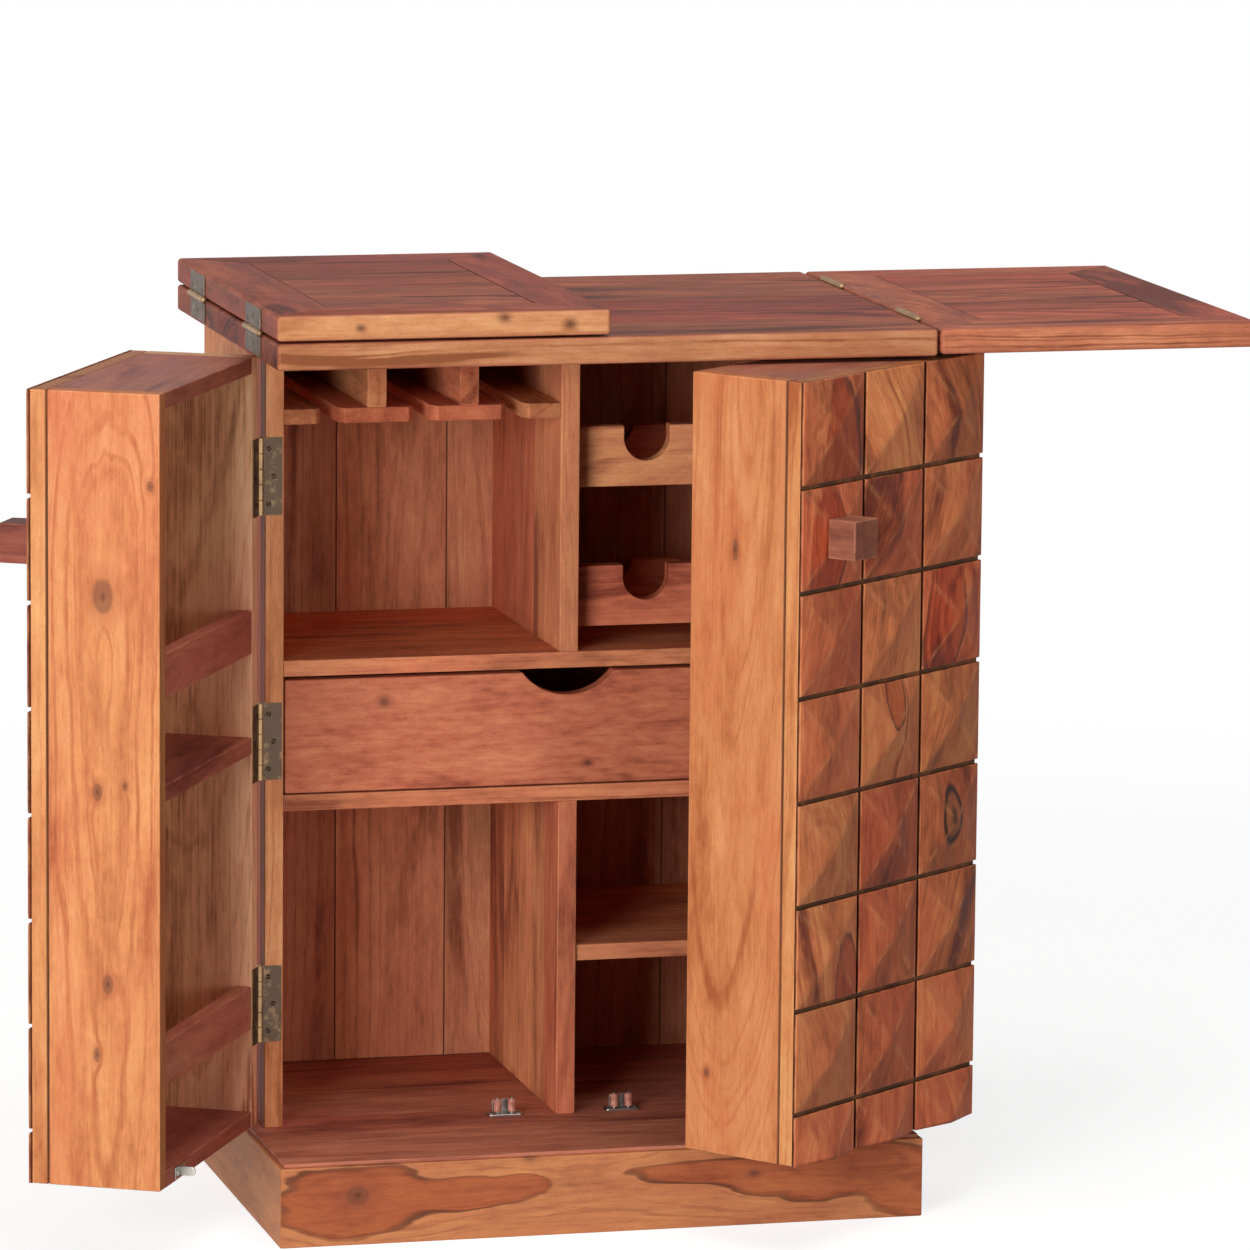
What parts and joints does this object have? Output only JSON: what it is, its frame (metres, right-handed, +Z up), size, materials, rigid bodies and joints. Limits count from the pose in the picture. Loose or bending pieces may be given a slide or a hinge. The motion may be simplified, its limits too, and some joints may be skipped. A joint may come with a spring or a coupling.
{
  "type": "bar cabinet",
  "caption": "Free-standing wooden bar cabinet with carved box doors, fold-out counter leaves, a drawer, a stemware rack and bottle cradles.",
  "frame": {"origin": "on the floor, under the middle of the plinth", "axes": "+X to the right seen from the front, +Y to the back, +Z up"},
  "size_m": [1.2438, 0.6395, 0.9015],
  "materials": {
    "wood_top": "satin lacquer on red-brown sheesham",
    "wood_plinth": "satin lacquer, strong heartwood figure",
    "wood_case": "satin lacquer on sheesham boards",
    "wood_drawer": "satin lacquer on sheesham",
    "wood_door": "satin lacquer on pale orange sheesham",
    "wood_carved": "hand-cut blocks, satin lacquer with worn ridges",
    "wood_knob": "dark satin lacquer",
    "antique_brass": "dull antique brass with worn knuckles",
    "zinc_steel": "zinc-plated pressed steel",
    "roller_plastic": "pinkish matt plastic"
  },
  "bodies": {
    "cabinet": {"back_boards": "wood_case", "bay_shelf": "wood_case", "cabinet_hinge_screws": "antique_brass", "catch_bases": "zinc_steel", "counter_top": "wood_top", "door_hinge_pins": "antique_brass", "floor_board": "wood_plinth", "front_cradles": "wood_case", "leaf_hinge_pins": "antique_brass", "left_side": "wood_case", "lower_divider": "wood_case", "lower_shelf": "wood_case", "plinth_back": "wood_plinth", "plinth_bearer": "wood_plinth", "plinth_front": "wood_plinth", "plinth_left": "wood_plinth", "plinth_right": "wood_plinth", "rack_hangers": "wood_case", "rack_slats": "wood_case", "rear_cradles": "wood_case", "right_side": "wood_case", "stile_hinge_leaves": "antique_brass", "top_hinge_leaves": "antique_brass", "upper_divider": "wood_case", "upper_shelf": "wood_case"},
    "drawer": {"drawer_back": "wood_drawer", "drawer_bottom": "wood_drawer", "drawer_front": "wood_drawer", "drawer_sides": "wood_drawer"},
    "left_catch_left_roller": {"left_catch_left_roller": "roller_plastic"},
    "left_catch_right_roller": {"left_catch_right_roller": "roller_plastic"},
    "left_door": {"left_door_blocks": "wood_carved", "left_door_caps": "wood_door", "left_door_free_wall": "wood_door", "left_door_front_panel": "wood_door", "left_door_hinge_wall": "wood_door", "left_door_hinges": "antique_brass", "left_door_knob": "wood_knob", "left_door_rails": "wood_door", "left_door_shelf": "wood_door", "left_door_strike": "zinc_steel"},
    "left_leaf": {"left_leaf_boards": "wood_top", "left_leaf_frame": "wood_top", "left_leaf_hinges": "antique_brass"},
    "right_catch_left_roller": {"right_catch_left_roller": "roller_plastic"},
    "right_catch_right_roller": {"right_catch_right_roller": "roller_plastic"},
    "right_door": {"right_door_blocks": "wood_carved", "right_door_caps": "wood_door", "right_door_free_wall": "wood_door", "right_door_front_panel": "wood_door", "right_door_hinge_wall": "wood_door", "right_door_hinges": "antique_brass", "right_door_knob": "wood_knob", "right_door_rails": "wood_door", "right_door_shelf": "wood_door", "right_door_strike": "zinc_steel"},
    "right_leaf": {"right_leaf_boards": "wood_top", "right_leaf_frame": "wood_top", "right_leaf_hinges": "antique_brass"}
  },
  "joints": [
    {"name": "left_door_swing", "type": "hinge", "parent": "cabinet", "child": "left_door", "pos_m": [-0.3088, -0.08505, 0.4665], "axis": [0, 0, -1], "range_deg": [-119.1, 60.9]},
    {"name": "right_door_swing", "type": "hinge", "parent": "cabinet", "child": "right_door", "pos_m": [0.3088, -0.08505, 0.4665], "axis": [0, 0, 1], "range_deg": [-39, 141]},
    {"name": "left_leaf_fold", "type": "hinge", "parent": "cabinet", "child": "left_leaf", "pos_m": [-0.3265, 0, 0.876], "axis": [0, -1, 0], "range_deg": [0, 180]},
    {"name": "right_leaf_fold", "type": "hinge", "parent": "cabinet", "child": "right_leaf", "pos_m": [0.3265, 0, 0.876], "axis": [0, 1, 0], "range_deg": [-180, 0]},
    {"name": "drawer_slide", "type": "slide", "parent": "cabinet", "child": "drawer", "axis": [0, -1, 0], "range_m": [0, 0.15]},
    {"name": "left_catch_left_roller_spin", "type": "hinge", "parent": "cabinet", "child": "left_catch_left_roller", "pos_m": [-0.0667, -0.075, 0.0925], "axis": [0, 0, 1], "continuous": true},
    {"name": "left_catch_right_roller_spin", "type": "hinge", "parent": "cabinet", "child": "left_catch_right_roller", "pos_m": [-0.0523, -0.075, 0.0925], "axis": [0, 0, 1], "continuous": true},
    {"name": "right_catch_left_roller_spin", "type": "hinge", "parent": "cabinet", "child": "right_catch_left_roller", "pos_m": [0.0523, -0.075, 0.0925], "axis": [0, 0, 1], "continuous": true},
    {"name": "right_catch_right_roller_spin", "type": "hinge", "parent": "cabinet", "child": "right_catch_right_roller", "pos_m": [0.0667, -0.075, 0.0925], "axis": [0, 0, 1], "continuous": true}
  ]
}
